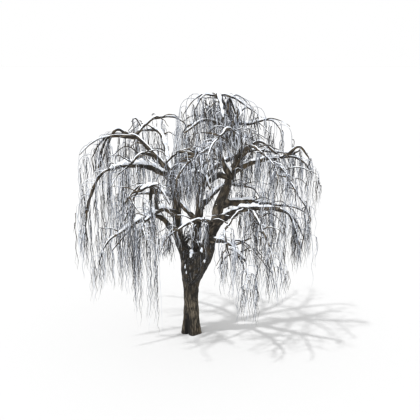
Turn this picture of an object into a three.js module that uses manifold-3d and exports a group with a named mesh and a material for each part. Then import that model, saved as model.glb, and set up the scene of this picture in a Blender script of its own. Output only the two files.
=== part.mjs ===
// A mature weeping willow in winter, bare of leaves, with snow lying on its limbs.
// Millimetres, +Z up. The origin is the middle of the flat cut under the trunk, at ground level.
// The trunk forks at about 4 m into three stems. Boughs arch out of the stems, each bough ends in
// one spray, and a spray is a stem with side arches and long twigs that hang straight down.
import * as THREE from "three";
import { mergeVertices } from "three/addons/utils/BufferGeometryUtils.js";
import Module from "manifold-3d";

const wasm = await Module();
wasm.setup();

// Clearances and fineness
const GAP = 0.3; // between two pieces that meet
const TWIG_CLEARANCE = 6; // between a twig and anything that it passes
const SLIVER = 0.05; // edges shorter than this are merged after a cut or a join
const STEM_STEPS = 13;
const BOUGH_STEPS = 6;
const BOUGH_SIDES = 6;
const KNUCKLE = 0.22; // how far a limb wanders off its smooth line, in its own radii

// Trunk: height, how far its middle leans along X, and its radius
const TRUNK_SIDES = 18;
const TRUNK = [
  { height: 0, lean: 0, radius: 455 },
  { height: 130, lean: 0, radius: 445 },
  { height: 380, lean: 0, radius: 425 },
  { height: 720, lean: 0, radius: 400 },
  { height: 1150, lean: -5, radius: 375 },
  { height: 1700, lean: -10, radius: 357 },
  { height: 2350, lean: -5, radius: 380 },
  { height: 2850, lean: 5, radius: 450 },
  { height: 3300, lean: 45, radius: 515 },
  { height: 3750, lean: 80, radius: 500 },
  { height: 4150, lean: 130, radius: 330 },
];
// The root flare: lobes that stand out at the ground and fade upwards, and the cleft between two
const FLARE_HEIGHT = 900;
const FLARE_DEPTH = 0.17;
const ROOT_LOBES = [-160, -80, -20, 40, 100, 160];
const LOBE_WIDTH = 20;
const CLEFT = { heading: -120, width: 14, depth: 0.24, height: 1150 };

// The three stems, each as x, y, z and radius at a few stations from inside the fork to the tip.
// The first rings of each, up to stub, belong to the trunk.
const STEMS = [
  {
    name: "left_stem",
    sides: 11,
    stub: 3,
    stations: [
      [40, 0, 3000, 400],
      [-190, -50, 4050, 320],
      [-560, -50, 4950, 228],
      [-690, 0, 6900, 190],
      [-1120, 150, 8130, 150],
      [-2480, 800, 9580, 88],
      [-3450, 1100, 9800, 50],
    ],
  },
  {
    name: "leader",
    sides: 12,
    stub: 2,
    stations: [
      [150, 0, 3050, 400],
      [760, -130, 4150, 370],
      [1040, -190, 5300, 290],
      [1340, -170, 6300, 262],
      [1640, -60, 7200, 218],
      [2050, 20, 8200, 175],
      [2400, 180, 9200, 140],
      [2000, 100, 10450, 85],
      [1500, 0, 11520, 48],
    ],
  },
  {
    name: "middle_stem",
    sides: 9,
    stub: 3,
    stations: [
      [120, 120, 3300, 270],
      [300, 480, 4700, 215],
      [390, 640, 6100, 190],
      [480, 720, 7000, 165],
      [1050, 1050, 8050, 128],
      [2700, 1780, 8800, 75],
      [4100, 2200, 8750, 45],
    ],
  },
];

// Boughs. Each leaves its parent limb at a share of that limb's length, runs out along a heading
// (0 is +X, 90 is +Y) to its reach, passes over its crest and ends at the height of its tip.
// crestAt is the crest's place as a share of the reach, halfway unless given, and bow how far the
// bough swings to its left there. foot and end are its radii.
const BOUGHS = [
  {
    name: "low_left", on: "left_stem", at: 0.23, heading: -146, reach: 3450,
    crest: 6150, crestAt: 0.38, bow: -90, tip: 5500, foot: 120, end: 42,
  },
  {
    name: "left_elbow", on: "left_stem", at: 0.37, heading: -126, reach: 2350,
    crest: 6500, tip: 6150, foot: 125, end: 45,
  },
  {
    name: "front_left", on: "left_elbow", at: 0.62, heading: -111, reach: 2500,
    crest: 7750, crestAt: 0.36, bow: 240, tip: 7800, foot: 68, end: 38,
  },
  {
    name: "front_hook", on: "leader", at: 0.31, heading: -135, reach: 2530,
    crest: 6020, tip: 5750, foot: 75, end: 38,
  },
  {
    name: "low_right", on: "leader", at: 0.32, heading: -36, reach: 3320,
    crest: 6620, bow: -210, tip: 6800, foot: 165, end: 62,
  },
  {
    name: "low_right_front", on: "low_right", at: 0.65, heading: -72, reach: 1820,
    crest: 6300, tip: 5750, foot: 62, end: 36,
  },
  {
    name: "low_front", on: "low_right", at: 0.56, heading: -118, reach: 1950,
    crest: 6560, tip: 6150, foot: 68, end: 38,
  },
  {
    name: "low_right_back", on: "leader", at: 0.42, heading: 27, reach: 2990,
    crest: 6560, tip: 6250, foot: 150, end: 45,
  },
  {
    name: "foot_right", on: "leader", at: 0.22, heading: -61, reach: 3300,
    crest: 5080, bow: 70, tip: 4650, foot: 110, end: 40,
  },
  {
    name: "low_back_left", on: "middle_stem", at: 0.27, heading: 138, reach: 3930,
    crest: 6600, tip: 6400, foot: 120, end: 42,
  },
  {
    name: "low_back_right", on: "middle_stem", at: 0.35, heading: 53, reach: 3810,
    crest: 7000, tip: 6700, foot: 115, end: 42,
  },
  {
    name: "mid_left", on: "left_stem", at: 0.59, heading: -159, reach: 2950,
    crest: 8520, bow: 100, tip: 8400, foot: 115, end: 52,
  },
  {
    name: "inner_left", on: "left_stem", at: 0.74, heading: -114, reach: 2620,
    crest: 9080, tip: 8700, foot: 75, end: 36,
  },
  {
    name: "mid_right", on: "leader", at: 0.6, heading: -9, reach: 2600,
    crest: 8700, tip: 8900, foot: 118, end: 50,
  },
  {
    name: "right_drop", on: "mid_right", at: 0.74, heading: -51, reach: 1670,
    crest: 8230, tip: 7350, foot: 46, end: 34,
  },
  {
    name: "front_arch", on: "leader", at: 0.57, heading: -122, reach: 3060,
    crest: 9350, tip: 9200, foot: 110, end: 40,
  },
  {
    name: "back_left", on: "left_stem", at: 0.58, heading: 116, reach: 3300,
    crest: 9700, bow: -190, tip: 9750, foot: 105, end: 40,
  },
  {
    name: "back", on: "middle_stem", at: 0.5, heading: 101, reach: 2970,
    crest: 8750, tip: 8500, foot: 100, end: 40,
  },
  {
    name: "back_right", on: "middle_stem", at: 0.77, heading: 70, reach: 2310,
    crest: 9400, tip: 9200, foot: 62, end: 38,
  },
  {
    name: "high_left", on: "left_stem", at: 0.91, heading: 60, reach: 2700,
    crest: 10330, tip: 10400, foot: 66, end: 36,
  },
  {
    name: "high_back", on: "leader", at: 0.84, heading: 133, reach: 2570,
    crest: 10550, tip: 10250, foot: 68, end: 38,
  },
  {
    name: "top_arch", on: "leader", at: 0.9, heading: 178, reach: 800,
    crest: 11450, tip: 11700, foot: 50, end: 36,
  },
  {
    name: "high_right", on: "leader", at: 0.88, heading: 30, reach: 1700,
    crest: 10300, tip: 10450, foot: 56, end: 36,
  },
  {
    name: "front_high", on: "leader", at: 0.76, heading: -110, reach: 3070,
    crest: 10300, tip: 10050, foot: 80, end: 36,
  },
  {
    name: "right_front", on: "leader", at: 0.68, heading: -66, reach: 2600,
    crest: 9500, tip: 9250, foot: 85, end: 38,
  },
];

// Sprays. Each grows on from the tip of a limb: its stem reaches on by reach, lifts first, and comes
// down by drop below that tip; its twigs hang to the hem. turn swings it off the limb's own heading.
const SPRAYS = [
  { on: "left_stem", reach: 1500, drop: 1300, hem: 5300, turn: 0 },
  { on: "leader", reach: 1400, drop: 500, hem: 8800, turn: 150 },
  { on: "middle_stem", reach: 1550, drop: 500, hem: 5200, turn: -20 },
  { on: "low_left", reach: 850, drop: 1150, hem: 3000, turn: 0 },
  { on: "left_elbow", reach: 950, drop: 700, hem: 800, turn: 45 },
  { on: "front_left", reach: 1350, drop: 1300, hem: 2200, turn: 60 },
  { on: "front_hook", reach: 750, drop: 900, hem: 4100, turn: -25 },
  { on: "low_right", reach: 1250, drop: 1300, hem: 3900, turn: 20 },
  { on: "low_right_front", reach: 950, drop: 1200, hem: 3000, turn: 0 },
  { on: "low_front", reach: 900, drop: 700, hem: 3000, turn: 35 },
  { on: "low_right_back", reach: 1700, drop: 550, hem: 2600, turn: -10 },
  { on: "foot_right", reach: 1000, drop: 1100, hem: 1300, turn: -25 },
  { on: "low_back_left", reach: 1500, drop: 900, hem: 1600, turn: 0 },
  { on: "low_back_right", reach: 1500, drop: 900, hem: 1800, turn: 0 },
  { on: "mid_left", reach: 1150, drop: 2000, hem: 3000, turn: 5 },
  { on: "inner_left", reach: 1200, drop: 900, hem: 4300, turn: -10 },
  { on: "mid_right", reach: 1150, drop: 850, hem: 5400, turn: 8 },
  { on: "right_drop", reach: 750, drop: 1100, hem: 4300, turn: 10 },
  { on: "front_arch", reach: 1500, drop: 900, hem: 6400, turn: 0 },
  { on: "back_left", reach: 1400, drop: 900, hem: 4600, turn: 0 },
  { on: "back", reach: 1300, drop: 800, hem: 4600, turn: 10 },
  { on: "back_right", reach: 1300, drop: 800, hem: 4300, turn: 0 },
  { on: "high_left", reach: 1250, drop: 500, hem: 6300, turn: -25 },
  { on: "high_back", reach: 1200, drop: 700, hem: 7000, turn: 0 },
  { on: "top_arch", reach: 1400, drop: 900, hem: 8700, turn: 0 },
  { on: "high_right", reach: 1050, drop: 500, hem: 7300, turn: 0 },
  { on: "front_high", reach: 1300, drop: 800, hem: 7300, turn: 0 },
  { on: "right_front", reach: 1300, drop: 800, hem: 5800, turn: 0 },
];
const STEM_SIDES = 4;
const STEM_BENDS = 4;
const STRAND_SIDES = 3;
const STEM_FALL = 0.4; // how far down to the hem the stem itself reaches
// The side arches of a spray: where each leaves the stem, and its turn off the stem's heading
const ARCHES = [
  { at: 0.2, turn: 62 },
  { at: 0.4, turn: -55 },
  { at: 0.62, turn: 22 },
];
const ARCH_REACH = 0.7; // as a share of the stem's reach
const ARCH_BENDS = 3;
const ARCH_RADIUS = 32;
const TWIGS_PER_SPRAY = 8;
const TWIG_REACH = [110, 300]; // how far a twig springs out before it hangs
const TWIG_BENDS = 2;
const TWIG_RADIUS = 17;
const LIFT = 0.16; // how high a strand springs, as a share of its reach
const SHORTEST = 0.5; // the shortest strand, as a share of the fall to the hem
const SWAY = 0.035; // how far a strand's end wanders, as a share of its fall
const SPRAY_MARGIN = 600; // how far a spray's space runs past the ends of its arches

// Snow that lies along the tops of the heaviest low boughs, between two shares of their length
const SNOW = [
  { on: "low_right", from: 0.14, to: 0.97, thick: 92 },
  { on: "mid_left", from: 0.16, to: 0.97, thick: 72 },
  { on: "low_left", from: 0.2, to: 0.95, thick: 62 },
];
const SNOW_SIDES = 6;
const SNOW_STEPS = 6;
const SNOW_SEAT = 1; // how far its middle lies above the bough's, in the bough's radii

const BARK = new THREE.MeshStandardMaterial({ color: 0x4a443b, roughness: 0.92, flatShading: true });
const TWIG = new THREE.MeshStandardMaterial({ color: 0x7d8590, roughness: 0.85, flatShading: true });
const WHITE = new THREE.MeshStandardMaterial({ color: 0xf2f5fb, roughness: 0.6, flatShading: true });

const radians = THREE.MathUtils.degToRad;
const along = (heading) => new THREE.Vector3(Math.cos(radians(heading)), Math.sin(radians(heading)), 0);

// A repeatable stream of numbers from 0 to 1
function numbersFrom(seed) {
  let state = seed * 7919 + 11;
  const next = () => {
    state = (state * 16807) % 2147483647;
    return state / 2147483647;
  };
  next();
  return next;
}

// A smooth line of x, y, z and radius through the stations
function smooth(stations, steps) {
  const last = stations.length - 1;
  const station = (i) => {
    if (i < 0) return stations[0].map((v, k) => 2 * v - stations[1][k]);
    if (i > last) return stations[last].map((v, k) => 2 * v - stations[last - 1][k]);
    return stations[i];
  };
  return Array.from({ length: steps + 1 }, (_, step) => {
    const u = (step / steps) * last;
    const i = Math.min(Math.floor(u), last - 1);
    const t = u - i;
    const [a, b, c, d] = [station(i - 1), station(i), station(i + 1), station(i + 2)];
    const [x, y, z, radius] = b.map(
      (v, k) =>
        v +
        0.5 * t * (c[k] - a[k]) +
        0.5 * t * t * (2 * a[k] - 5 * v + 4 * c[k] - d[k]) +
        0.5 * t * t * t * (3 * v - a[k] - 3 * c[k] + d[k]),
    );
    return { at: new THREE.Vector3(x, y, z), radius };
  });
}

// The same line with the small kinks of an old limb; its ends stay where they are
function gnarled(line, seed) {
  const next = numbersFrom(seed);
  return line.map(({ at, radius }, i) => {
    const shift = new THREE.Vector3(next() - 0.5, next() - 0.5, next() - 0.5);
    const free = i > 1 && i < line.length - 1;
    return { at: free ? at.clone().addScaledVector(shift, 2 * KNUCKLE * radius) : at, radius };
  });
}

// The point and radius at a share of a line's length
function pointOn(line, share) {
  const lengths = line.slice(1).map((p, i) => p.at.distanceTo(line[i].at));
  let left = share * lengths.reduce((sum, length) => sum + length, 0);
  let i = 0;
  while (i < lengths.length - 1 && left > lengths[i]) {
    left -= lengths[i];
    i += 1;
  }
  const t = left / lengths[i];
  return {
    at: line[i].at.clone().lerp(line[i + 1].at, t),
    radius: THREE.MathUtils.lerp(line[i].radius, line[i + 1].radius, t),
  };
}

// The line with a frame at each point: the direction along it, and two across it that never twist
function framed(line, first) {
  const directions = line.map((_, i) => {
    const before = line[Math.max(i - 1, 0)].at;
    const after = line[Math.min(i + 1, line.length - 1)].at;
    return after.clone().sub(before).normalize();
  });
  directions[0] = first ?? directions[0];
  const isUpright = Math.abs(directions[0].z) > 0.9;
  const start = isUpright ? new THREE.Vector3(1, 0, 0) : new THREE.Vector3(0, 0, 1);
  let side = start.addScaledVector(directions[0], -start.dot(directions[0])).normalize();
  return line.map((point, i) => {
    const direction = directions[i];
    side = side.clone().addScaledVector(direction, -side.dot(direction)).normalize();
    return { ...point, direction, side, across: direction.clone().cross(side) };
  });
}

// A closed mesh as a solid for joining and cutting
function solidOf(geometry) {
  geometry.deleteAttribute("normal");
  geometry.deleteAttribute("uv");
  const merged = mergeVertices(geometry, 1e-3);
  return new wasm.Manifold(
    new wasm.Mesh({
      numProp: 3,
      vertProperties: merged.attributes.position.array,
      triVerts: new Uint32Array(merged.index.array),
    }),
  );
}

// A cylinder bent along a framed line. radiusAt gives the radius of a ring at an angle, and a
// pointed one ends in a point in place of its last ring
function loft(line, sides, radiusAt, pointed = false) {
  const steps = line.length - 1;
  const geometry = new THREE.CylinderGeometry(pointed ? 0 : 1, 1, 1, sides, steps);
  const position = geometry.attributes.position;
  const unit = new THREE.Vector2();
  for (let i = 0; i < position.count; i += 1) {
    const ring = line[Math.round((position.getY(i) + 0.5) * steps)];
    unit.set(position.getX(i), -position.getZ(i)).normalize();
    const radius = radiusAt(ring, unit.angle());
    const point = ring.at
      .clone()
      .addScaledVector(ring.side, radius * unit.x)
      .addScaledVector(ring.across, radius * unit.y);
    position.setXYZ(i, ...point);
  }
  return solidOf(geometry);
}

// A round limb along a line, as thick as the line says plus extra
function tube(line, sides, extra = 0) {
  return loft(line, sides, ({ radius }) => radius + extra);
}

// How far a direction is from a heading, in degrees
function turnBetween(heading, other) {
  return Math.abs(((heading - other + 540) % 360) - 180);
}

// The trunk's radius at a station, widened by the root lobes and narrowed in the cleft
function trunkRadius({ height, radius }, heading) {
  const flare = Math.max(0, 1 - height / FLARE_HEIGHT) ** 2;
  const lobe = ROOT_LOBES.reduce(
    (sum, middle) => sum + Math.exp(-((turnBetween(heading, middle) / LOBE_WIDTH) ** 2)),
    0,
  );
  const open = Math.max(0, 1 - height / CLEFT.height);
  const cleft = open * Math.exp(-((turnBetween(heading, CLEFT.heading) / CLEFT.width) ** 2));
  return radius * (1 + FLARE_DEPTH * flare * lobe - CLEFT.depth * cleft);
}

function trunkBase() {
  const line = TRUNK.map((station) => ({
    ...station,
    at: new THREE.Vector3(station.lean, 0, station.height),
  }));
  const radiusAt = (station, angle) => trunkRadius(station, THREE.MathUtils.radToDeg(angle));
  return loft(framed(line), TRUNK_SIDES, radiusAt);
}

// The line of a bough, from the middle of its parent over its crest to its tip
function boughLine(bough, parent, seed) {
  const foot = pointOn(parent, bough.at).at;
  const out = along(bough.heading);
  const left = along(bough.heading + 90);
  const share = bough.crestAt ?? 0.5;
  const crest = foot.clone().addScaledVector(out, bough.reach * share);
  crest.addScaledVector(left, bough.bow ?? 0);
  const tip = foot.clone().addScaledVector(out, bough.reach);
  const middle = THREE.MathUtils.lerp(bough.foot, bough.end, share);
  const stations = [
    [foot.x, foot.y, foot.z, bough.foot],
    [crest.x, crest.y, bough.crest, middle],
    [tip.x, tip.y, bough.tip, bough.end],
  ];
  return framed(gnarled(smooth(stations, BOUGH_STEPS), seed));
}

// A strand: it springs from its root along a heading, bends over at its reach and hangs to a point
function strandLine({ root, heading, reach, bends, radius, fall, next }) {
  const out = along(heading);
  const line = [{ at: root, radius }];
  for (let i = 1; i <= bends; i += 1) {
    const u = i / bends;
    const at = root.clone().addScaledVector(out, reach * Math.sin((u * Math.PI) / 2));
    at.z += reach * (LIFT * Math.sin(u * Math.PI) - 0.7 * (1 - Math.cos((u * Math.PI) / 2)));
    line.push({ at, radius: radius * (1 - 0.35 * u) });
  }
  const sway = () => (next() - 0.5) * 2 * SWAY * fall;
  const tip = line.at(-1).at.clone().add(new THREE.Vector3(sway(), sway(), -fall));
  line.push({ at: tip, radius: 0 });
  return line;
}

// The largest of the pieces that a cut leaves
function largest(solid) {
  return solid.decompose().reduce((best, piece) => (piece.volume() > best.volume() ? piece : best));
}

// A cap of snow: a lumpy roll laid along the top of a bough and cut to fit it
function snowSolid({ on, from, to, thick }, seed) {
  const bough = limbs.get(on).line;
  const next = numbersFrom(seed);
  const line = Array.from({ length: SNOW_STEPS + 1 }, (_, i) => {
    const { at, radius } = pointOn(bough, THREE.MathUtils.lerp(from, to, i / SNOW_STEPS));
    const body = Math.sin((Math.PI * (i + 0.35)) / (SNOW_STEPS + 0.7)) ** 0.4;
    const depth = thick * body * (0.85 + 0.3 * next());
    const seat = at.clone();
    seat.z += SNOW_SEAT * radius;
    return { at: seat, radius: 0.55 * radius * body + depth };
  });
  const cutters = BOUGHS.filter((other) => other.on === on).map((other) => limbs.get(other.name));
  const cuts = [limbs.get(on), ...cutters].map((limb) => tube(limb.line, limb.sides, GAP));
  placed.push(...segmentsOf(line, "snow_" + on));
  return largest(tube(framed(line), SNOW_SIDES).subtract(wasm.Manifold.union(cuts)));
}

// The least distance between two straight segments
function segmentGap(a, b, c, d) {
  const u = b.clone().sub(a);
  const v = d.clone().sub(c);
  const w = a.clone().sub(c);
  const [uu, uv, vv, uw, vw] = [u.dot(u), u.dot(v), v.dot(v), u.dot(w), v.dot(w)];
  const slope = uu * vv - uv * uv;
  let s = slope > 1e-9 ? THREE.MathUtils.clamp((uv * vw - vv * uw) / slope, 0, 1) : 0;
  const t = THREE.MathUtils.clamp((uv * s + vw) / vv, 0, 1);
  s = THREE.MathUtils.clamp((uv * t - uw) / uu, 0, 1);
  return w.addScaledVector(u, s).addScaledVector(v, -t).length();
}

// Everything placed so far, as straight segments with a thickness
const placed = [];

function segmentsOf(line, owner) {
  return line.slice(1).map((p, i) => ({
    a: line[i].at,
    b: p.at,
    radius: Math.max(line[i].radius, p.radius),
    owner,
  }));
}

function isClear(segments, ownParts) {
  return segments.every((mine) =>
    placed.every(
      (other) =>
        ownParts.includes(other.owner) ||
        segmentGap(mine.a, mine.b, other.a, other.b) > mine.radius + other.radius + TWIG_CLEARANCE,
    ),
  );
}

// The stem of a spray: it meets its limb's tip, arches over and comes down to a point
function sprayStem({ on, reach, drop, hem, turn }) {
  const tip = limbs.get(on).line.at(-1);
  const heading = THREE.MathUtils.radToDeg(Math.atan2(tip.direction.y, tip.direction.x)) + turn;
  const out = along(heading);
  const start = tip.at.clone().addScaledVector(tip.direction, GAP);
  const end = start.clone().addScaledVector(out, reach);
  end.z -= drop;
  const above = end.clone().addScaledVector(out, -0.25 * reach);
  above.z += 0.55 * drop + 0.1 * reach;
  const setOff = start.clone().addScaledVector(tip.direction, 0.45 * reach);
  const arch = new THREE.CubicBezierCurve3(start, setOff, above, end).getPoints(STEM_BENDS);
  const line = arch.map((at, i) => ({
    at,
    radius: THREE.MathUtils.lerp(tip.radius, ARCH_RADIUS, i / STEM_BENDS),
  }));
  const point = end.clone().setZ(THREE.MathUtils.lerp(end.z, hem, STEM_FALL));
  return { heading, line: framed([...line, { at: point, radius: 0 }], tip.direction) };
}

// A spray fused into one solid: its stem, the arches that leave it, and the twigs of them all
function spraySolid({ on, reach, hem, heading, line: stem }, seed) {
  const next = numbersFrom(seed);
  const name = "spray_" + on;
  const bearer = stem.slice(0, -1);
  const middle = bearer[0].at.clone().lerp(bearer.at(-1).at, 0.55).setZ(0);
  const isInside = (line) =>
    line.every(
      ({ at }) => at.clone().setZ(0).distanceTo(middle) < 0.6 * reach + SPRAY_MARGIN && at.z >= hem - 1,
    );
  const fallFrom = (root) => (root.z - hem) * (1 - (1 - SHORTEST) * next() ** 1.6);
  const parts = [loft(stem, STEM_SIDES, ({ radius }) => radius, true)];
  const bearers = [bearer, bearer];

  const grow = (line, ownParts, kind) => {
    const [root, ...rest] = segmentsOf(line, kind);
    if (!isInside(line) || !isClear([root], ownParts) || !isClear(rest, [])) return false;
    parts.push(loft(framed(line), STRAND_SIDES, ({ radius }) => radius, true));
    placed.push(root, ...rest);
    return true;
  };

  ARCHES.forEach(({ at, turn }) => {
    const root = pointOn(bearer, at).at;
    const line = strandLine({
      root,
      heading: heading + turn + 20 * (next() - 0.5),
      reach: reach * ARCH_REACH * (0.85 + 0.3 * next()),
      bends: ARCH_BENDS,
      radius: ARCH_RADIUS,
      fall: 0.8 * fallFrom(root),
      next,
    });
    if (grow(line, [name], name + "_arch")) bearers.push(line.slice(0, -1));
  });

  let made = 0;
  for (let tries = 0; made < TWIGS_PER_SPRAY && tries < 9 * TWIGS_PER_SPRAY; tries += 1) {
    const root = pointOn(bearers[tries % bearers.length], 0.15 + 0.75 * next()).at;
    const line = strandLine({
      root,
      heading: 360 * next(),
      reach: THREE.MathUtils.lerp(...TWIG_REACH, next()),
      bends: TWIG_BENDS,
      radius: TWIG_RADIUS,
      fall: 0.93 * fallFrom(root),
      next,
    });
    if (grow(line, [name, name + "_arch"], name + "_twig")) made += 1;
  }
  return wasm.Manifold.union(parts);
}

// A solid as a named mesh
function meshOf(name, solid, material) {
  const { numVert, numProp, vertProperties, triVerts } = solid.simplify(SLIVER).getMesh();
  const points = new Float32Array(numVert * 3);
  for (let i = 0; i < numVert; i += 1) {
    points.set(vertProperties.subarray(i * numProp, i * numProp + 3), i * 3);
  }
  const geometry = new THREE.BufferGeometry();
  geometry.setAttribute("position", new THREE.BufferAttribute(points, 3));
  geometry.setIndex(new THREE.BufferAttribute(triVerts, 1));
  geometry.computeVertexNormals();
  const mesh = new THREE.Mesh(geometry, material);
  mesh.name = name;
  return mesh;
}

const limbs = new Map();
const willow = new THREE.Group();

// Stems: the first rings go into the trunk, and the rest starts one gap further on
let trunk = trunkBase();
STEMS.forEach((stem, i) => {
  const line = framed(gnarled(smooth(stem.stations, STEM_STEPS), i + 1));
  trunk = trunk.add(tube(line.slice(0, stem.stub + 1), stem.sides));
  limbs.set(stem.name, { line, sides: stem.sides, stub: stem.stub });
  placed.push(...segmentsOf(line, stem.name));
});
willow.add(meshOf("trunk", trunk, BARK));
STEMS.forEach(({ name, stub, sides }) => {
  const [first, ...rest] = limbs.get(name).line.slice(stub);
  const lifted = { ...first, at: first.at.clone().addScaledVector(first.direction, GAP) };
  willow.add(meshOf(name, tube([lifted, ...rest], sides), BARK));
});

// Boughs: each is cut clear of the limb that it grows from
BOUGHS.forEach((bough, i) => {
  const parent = limbs.get(bough.on);
  const line = boughLine(bough, parent.line, i + 21);
  const solid = tube(line, BOUGH_SIDES).subtract(tube(parent.line, parent.sides, GAP));
  limbs.set(bough.name, { line, sides: BOUGH_SIDES });
  placed.push(...segmentsOf(line, bough.name));
  willow.add(meshOf(bough.name, solid, BARK));
});

SNOW.forEach((cap, i) => willow.add(meshOf("snow_" + cap.on, snowSolid(cap, i + 101), WHITE)));

// Sprays: all their stems first, so that every twig can keep clear of them
const sprays = SPRAYS.map((spray) => ({ ...spray, ...sprayStem(spray) }));
sprays.forEach(({ on, line }) => placed.push(...segmentsOf(line, "spray_" + on)));
sprays.forEach((spray, i) => willow.add(meshOf("spray_" + spray.on, spraySolid(spray, i + 61), TWIG)));

export default willow;
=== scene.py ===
# A mature weeping willow in winter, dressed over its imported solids.
# Metres, +Z up, in the frame of the solids. The limbs follow the same rules and the same random
# numbers as the solids do; the bark's relief, the snow and the finer twigs are added here.
import math
from collections import namedtuple

import bmesh
import bpy
import numpy as np
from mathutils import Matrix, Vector, noise
from mathutils.bvhtree import BVHTree


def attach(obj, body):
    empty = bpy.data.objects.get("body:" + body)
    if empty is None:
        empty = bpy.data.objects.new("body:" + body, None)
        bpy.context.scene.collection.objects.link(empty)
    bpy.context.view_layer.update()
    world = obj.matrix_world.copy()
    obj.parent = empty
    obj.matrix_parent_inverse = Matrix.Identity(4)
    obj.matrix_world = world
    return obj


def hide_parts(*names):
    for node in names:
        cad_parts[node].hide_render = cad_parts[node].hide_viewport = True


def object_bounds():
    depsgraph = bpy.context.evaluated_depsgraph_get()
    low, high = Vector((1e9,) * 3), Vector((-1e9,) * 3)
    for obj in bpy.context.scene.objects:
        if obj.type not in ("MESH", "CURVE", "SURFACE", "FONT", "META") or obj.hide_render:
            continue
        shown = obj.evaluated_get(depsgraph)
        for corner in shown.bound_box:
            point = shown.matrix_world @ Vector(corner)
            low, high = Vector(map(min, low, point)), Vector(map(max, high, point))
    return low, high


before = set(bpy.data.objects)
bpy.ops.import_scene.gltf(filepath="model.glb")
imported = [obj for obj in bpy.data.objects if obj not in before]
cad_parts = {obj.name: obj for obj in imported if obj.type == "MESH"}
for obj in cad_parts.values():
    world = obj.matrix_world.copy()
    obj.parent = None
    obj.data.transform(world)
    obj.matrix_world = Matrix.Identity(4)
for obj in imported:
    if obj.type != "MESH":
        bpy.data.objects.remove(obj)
cad_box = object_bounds()

UP = np.array([0.0, 0.0, 1.0])
KNOT_SEED = 2
TWIG_SEED = 61
noise.seed_set(KNOT_SEED)  # so that the knots in the limbs come out the same each time
chance = np.random.default_rng(TWIG_SEED)


def placed(name, data):
    """A new object in the scene."""
    made = bpy.data.objects.new(name, data)
    bpy.context.scene.collection.objects.link(made)
    return made


# Camera
CAMERA_PLACE = (0.925, -33.705, 14.042)
CAMERA_TILT = math.radians(77)
CAMERA_LENS = 61.71

camera = placed("camera", bpy.data.cameras.new("camera"))
camera.data.lens = CAMERA_LENS
camera.data.sensor_width = 36
camera.data.clip_end = 500
camera.location = CAMERA_PLACE
camera.rotation_euler = (CAMERA_TILT, 0, 0)
bpy.context.scene.camera = camera

# The trunk's stations: height, how far its middle leans along X, and its radius
TRUNK = [
    (0, 0, 0.455),
    (0.13, 0, 0.445),
    (0.38, 0, 0.425),
    (0.72, 0, 0.4),
    (1.15, -0.005, 0.375),
    (1.7, -0.01, 0.357),
    (2.35, -0.005, 0.38),
    (2.85, 0.005, 0.45),
    (3.3, 0.045, 0.515),
    (3.75, 0.08, 0.5),
    (4.15, 0.13, 0.33),
]
FLARE_HEIGHT = 0.9
FLARE_DEPTH = 0.17
ROOT_LOBES = (-160, -80, -20, 40, 100, 160)
LOBE_WIDTH = 20
CLEFT_HEADING = -120
CLEFT_WIDTH = 17
CLEFT_DEPTH = 0.34
CLEFT_HEIGHT = 1.15

# The stems: x, y, z and radius at a few stations from inside the fork to the tip
STEMS = {
    "left_stem": [
        (0.04, 0, 3.0, 0.4),
        (-0.19, -0.05, 4.05, 0.32),
        (-0.56, -0.05, 4.95, 0.228),
        (-0.69, 0, 6.9, 0.19),
        (-1.12, 0.15, 8.13, 0.15),
        (-2.48, 0.8, 9.58, 0.088),
        (-3.45, 1.1, 9.8, 0.05),
    ],
    "leader": [
        (0.15, 0, 3.05, 0.4),
        (0.76, -0.13, 4.15, 0.37),
        (1.04, -0.19, 5.3, 0.29),
        (1.34, -0.17, 6.3, 0.262),
        (1.64, -0.06, 7.2, 0.218),
        (2.05, 0.02, 8.2, 0.175),
        (2.4, 0.18, 9.2, 0.14),
        (2.0, 0.1, 10.45, 0.085),
        (1.5, 0, 11.52, 0.048),
    ],
    "middle_stem": [
        (0.12, 0.12, 3.3, 0.27),
        (0.3, 0.48, 4.7, 0.215),
        (0.39, 0.64, 6.1, 0.19),
        (0.48, 0.72, 7.0, 0.165),
        (1.05, 1.05, 8.05, 0.128),
        (2.7, 1.78, 8.8, 0.075),
        (4.1, 2.2, 8.75, 0.045),
    ],
}
STEM_STEPS = 13
BOUGH_STEPS = 6
KNUCKLE = 0.22  # how far a limb wanders off its smooth line, in its own radii

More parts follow.
